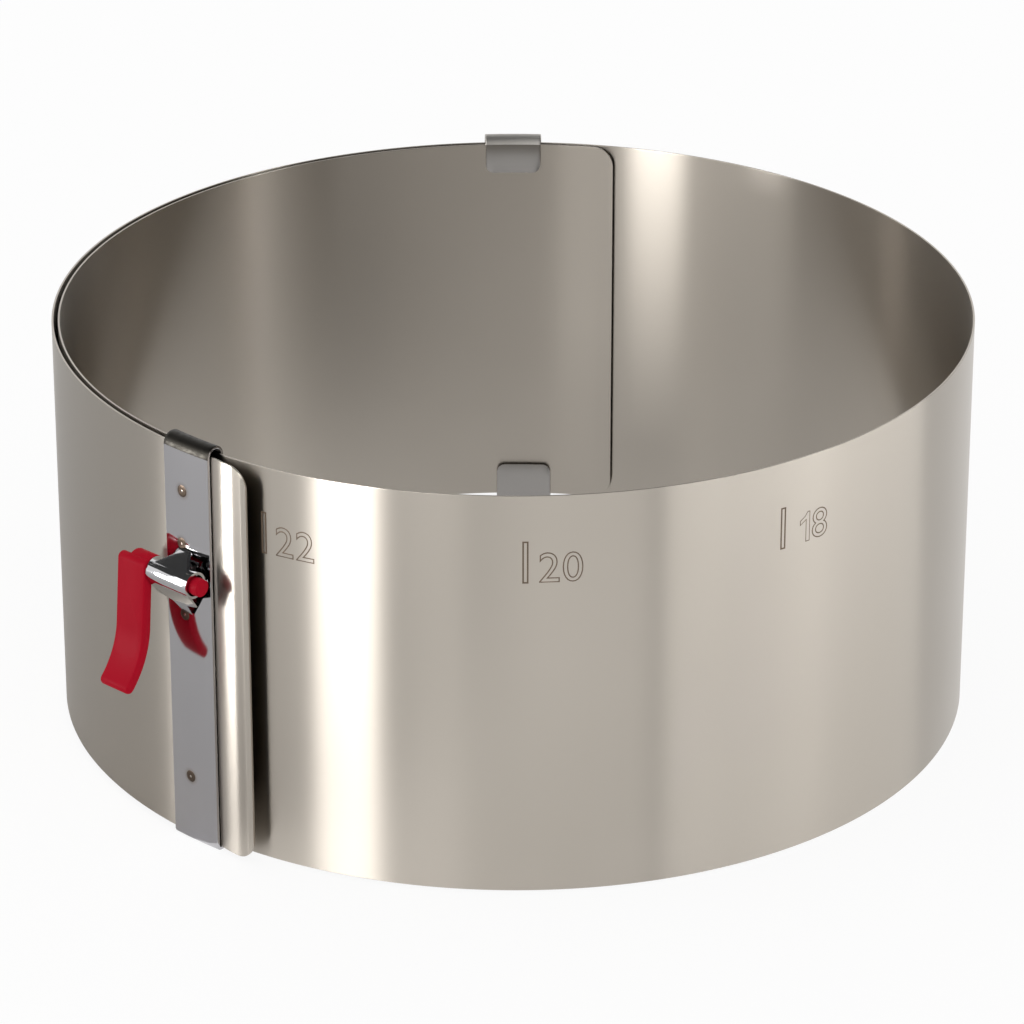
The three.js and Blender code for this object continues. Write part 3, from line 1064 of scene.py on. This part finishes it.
# closes the hollow in the solid's tail
def closeHollow(piece):
    hollow, back = lever["hollow"], clampFrame.inverted()
    mesh = piece.data
    places = [back @ vertex.co for vertex in mesh.vertices]
    inside = [hollow["left"] < place.x < hollow["right"]
              and hollow["low"] < place.z < hollow["high"] for place in places]
    middle = (hollow["left"] + hollow["right"]) / 2
    bpy.ops.object.mode_set(mode="EDIT")
    bpy.ops.mesh.select_mode(type="FACE")
    bpy.ops.mesh.select_all(action="DESELECT")
    bpy.ops.object.mode_set(mode="OBJECT")
    for face in mesh.polygons:
        face.select = all(inside[v] for v in face.vertices)
    bpy.ops.object.mode_set(mode="EDIT")
    bpy.ops.mesh.delete(type="FACE")
    bpy.ops.mesh.select_mode(type="EDGE")
    selectOpenEdges()
    bpy.ops.object.mode_set(mode="OBJECT")
    for edge in mesh.edges:
        sides = {(back @ mesh.vertices[v].co).x < middle for v in edge.vertices}
        edge.select = edge.select and len(sides) == 1
    bpy.ops.object.mode_set(mode="EDIT")
    bpy.ops.mesh.bridge_edge_loops()
    bpy.ops.mesh.select_mode(type="VERT")
    bpy.ops.mesh.select_all(action="SELECT")
    bpy.ops.mesh.normals_make_consistent(inside=False)
    bpy.ops.object.mode_set(mode="OBJECT")


def makeLever():
    piece = copyNode("clamp_lever_moulding", "clamp_lever")
    closeHollow(piece)
    slimButton(piece)
    roundEdges(piece, lever["edgeRound"], lever["roundSteps"], lever["roundFrom"])
    smoothByAngle(lever["smoothTo"])
    piece.data.materials.append(redPlastic)
    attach(piece, "lever")
    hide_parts("clamp_lever")


def makeButton():
    radius, soft, long = button["radius"], button["round"], button["length"]
    steps = button["roundSteps"]
    profile = [(0.0, 0.0), (radius, 0.0)]
    profile += [(radius - soft + soft * math.cos(turn), long - soft + soft * math.sin(turn))
                for turn in (math.pi / 2 * i / steps for i in range(steps + 1))]
    profile += [(radius * share, long + rise) for share, rise in button["dome"]]
    piece = turnProfile("clamp_lever_button", profile, button["turns"])
    smoothByAngle(button["smoothTo"])
    place = clampFrame @ Matrix.Translation((button["from"], -clamp["axisOff"], 0))
    applyPlace(piece, place @ Matrix.Rotation(math.pi / 2, 4, "Y"))
    piece.data.materials.append(redPlastic)
    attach(piece, "lever")


makeSaddle()
makeLever()
makeButton()
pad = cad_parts["clamp_pad"]
pad.data.materials.clear()
pad.data.materials.append(clipSteel)
print("clamp made")


# floor, background and studio
studio = {
    "floorSize": 8.0,
    "floorLevel": -0.00005,
    "floorGrey": 0.92,
    "floorRoughness": 0.9,
    "shadowShare": 0.1,  # how much of the floor's own light and shade is seen
    "mirroredShare": 0.78,
    "lowLight": 0.9,
    "cardLevel": -0.00002,  # cards that lie on the floor
    "lampAim": (0, 0, 0.05),
}
ceiling = {"height": 0.8, "size": (3.2, 2.4), "back": 0.45, "grey": 0.05}
leftCard = {"azimuth": -72, "near": 0.098, "size": (0.9, 0.5), "grey": 0.55}
# a dark card on the floor inside the ring, seen only in the metal: painted shade for the floor
# that the ring shades
insideShadeCard = {"azimuth": 118, "out": 0.056, "reach": 0.064, "grey": 0.05}
rightFlag = {"azimuth": 88, "distance": 1.15, "height": 0.46, "size": (1.9, 0.68), "grey": 0.04}
# strips and cards that only show in the metal; the even light comes from the world
lamps = {
    "keyStrip": {
        "azimuth": -38.5, "distance": 0.9, "height": 0.22, "size": (0.235, 0.38), "power": 5.6},
    "sideSoft": {
        "azimuth": -64, "distance": 0.9, "height": 0.36, "size": (0.5, 0.5), "power": 1.7},
    "lipStrip": {
        "azimuth": -73.5, "distance": 0.46, "height": 0.06, "size": (0.085, 0.11), "power": 0.9},
    "frontLow": {
        "azimuth": -4, "distance": 0.7, "height": 0.05, "size": (0.9, 0.09), "power": 0.6},
    "rightLow": {
        "azimuth": 70, "distance": 0.6, "height": 0.05, "size": (0.9, 0.09), "power": 1.35},
    "rightStrip": {
        "azimuth": 77, "distance": 0.6, "height": 0.5, "size": (0.05, 0.3), "power": 0.75},
    "frontStrip": {
        "azimuth": -19, "distance": 1.2, "height": 0.5, "size": (0.28, 0.3), "power": 1.2},
}


# white to the eye and in reflections, by the shares given
def brightToSight(nodes, links, seen, mirrored):
    path = nodes.new("ShaderNodeLightPath")
    shares = {"Is Camera Ray": seen, "Is Transmission Ray": seen, "Is Glossy Ray": mirrored}
    total = None
    for ray, share in shares.items():
        part = nodes.new("ShaderNodeMath")
        part.operation = "MULTIPLY"
        part.inputs[1].default_value = share
        links.new(path.outputs[ray], part.inputs[0])
        if total is not None:
            most = nodes.new("ShaderNodeMath")
            most.operation = "MAXIMUM"
            links.new(total, most.inputs[0])
            links.new(part.outputs[0], most.inputs[1])
            part = most
        total = part.outputs[0]
    return total


def plainMaterial(name, grey, roughness):
    material, nodes, links = newMaterial(name, (grey,) * 3)
    shader = nodes["Principled BSDF"]
    shader.inputs["Base Color"].default_value = (grey, grey, grey, 1)
    shader.inputs["Roughness"].default_value = roughness
    return material, nodes, links


def makeFloor():
    deselectAll()
    bpy.ops.mesh.primitive_plane_add(
        size=studio["floorSize"], location=(0, 0, studio["floorLevel"]))
    floor = bpy.context.object
    floor.name = "floor"
    material, nodes, links = plainMaterial(
        "floor_white", studio["floorGrey"], studio["floorRoughness"])
    bright = brightToSight(nodes, links, 1 - studio["shadowShare"], studio["mirroredShare"])
    glow, mix = nodes.new("ShaderNodeEmission"), nodes.new("ShaderNodeMixShader")
    links.new(bright, mix.inputs[0])
    links.new(nodes["Principled BSDF"].outputs[0], mix.inputs[1])
    links.new(glow.outputs[0], mix.inputs[2])
    links.new(mix.outputs[0], nodes["Material Output"].inputs["Surface"])
    floor.data.materials.append(material)
    floor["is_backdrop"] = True


def makeWorld():
    world = bpy.data.worlds.new("studio")
    scene.world = world
    world.use_nodes = True
    nodes, links = world.node_tree.nodes, world.node_tree.links
    background = nodes["Background"]
    background.inputs["Color"].default_value = (1, 1, 1, 1)
    strength = nodes.new("ShaderNodeMapRange")
    strength.inputs["To Min"].default_value = studio["lowLight"]
    strength.inputs["To Max"].default_value = 1
    links.new(brightToSight(nodes, links, 1, 1), strength.inputs["Value"])
    links.new(strength.outputs[0], background.inputs["Strength"])


# a card can fade out from a centre, so that it leaves no edge in the metal
def makeCard(name, size, place, grey, fade=None):
    deselectAll()
    bpy.ops.mesh.primitive_plane_add(size=1, location=(0, 0, 0))
    card = bpy.context.object
    card.name = name
    applyPlace(card, place @ Matrix.Diagonal((size[0], size[1], 1, 1)))
    material, nodes, links = plainMaterial(name, grey, 1)
    if fade:
        links.new(addHalo(nodes, *fade), nodes["Principled BSDF"].inputs["Alpha"])
    card.data.materials.append(material)
    card.visible_camera = False
    card.visible_diffuse = False
    card.visible_shadow = False
    card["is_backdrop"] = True


def makeLamp(name, lamp):
    turn = math.radians(lamp["azimuth"])
    place = outward(turn) * lamp["distance"]
    place.z = lamp["height"]
    aim = (Vector(studio["lampAim"]) - place).to_track_quat("-Z", "Y")
    bpy.ops.object.light_add(type="AREA", location=place, rotation=aim.to_euler())
    light = bpy.context.object
    light.name = name
    light.data.shape = "RECTANGLE"
    light.data.size, light.data.size_y = lamp["size"]
    light.data.energy = lamp["power"]
    light.visible_camera = False
    light.visible_diffuse = False


def placeCards():
    over = Vector((0, ceiling["back"] - ceiling["size"][1] / 2, ceiling["height"]))
    makeCard("ceiling_card", ceiling["size"], Matrix.Translation(over), ceiling["grey"])
    turn, low = math.radians(leftCard["azimuth"]), Vector((0, 0, studio["cardLevel"]))
    beside = outward(turn) * (leftCard["near"] + leftCard["size"][1] / 2) + low
    makeCard("left_card", leftCard["size"],
             Matrix.Translation(beside) @ Matrix.Rotation(turn, 4, "Z"), leftCard["grey"])
    # painted shade on the floor inside the ring, shown only in reflections
    reach = insideShadeCard["reach"]
    inside = outward(math.radians(insideShadeCard["azimuth"])) * insideShadeCard["out"] + low
    makeCard("inside_painted_shade_card", (2 * reach, 2 * reach), Matrix.Translation(inside), insideShadeCard["grey"],
             fade=(inside, reach))
    turn = math.radians(rightFlag["azimuth"])
    aside = outward(turn) * rightFlag["distance"] + Vector((0, 0, rightFlag["height"]))
    upright = Matrix.Rotation(turn, 4, "Z") @ Matrix.Rotation(math.pi / 2, 4, "X")
    makeCard("right_flag", rightFlag["size"], Matrix.Translation(aside) @ upright,
             rightFlag["grey"])


makeFloor()
makeWorld()
placeCards()
for name, lamp in lamps.items():
    makeLamp(name, lamp)
scene.view_settings.view_transform = "Standard"
print("studio lit")

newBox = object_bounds()
plain = lambda box: [[float(value) for value in corner] for corner in box]
{"cad": plain(cadBox), "scene": plain(newBox)}
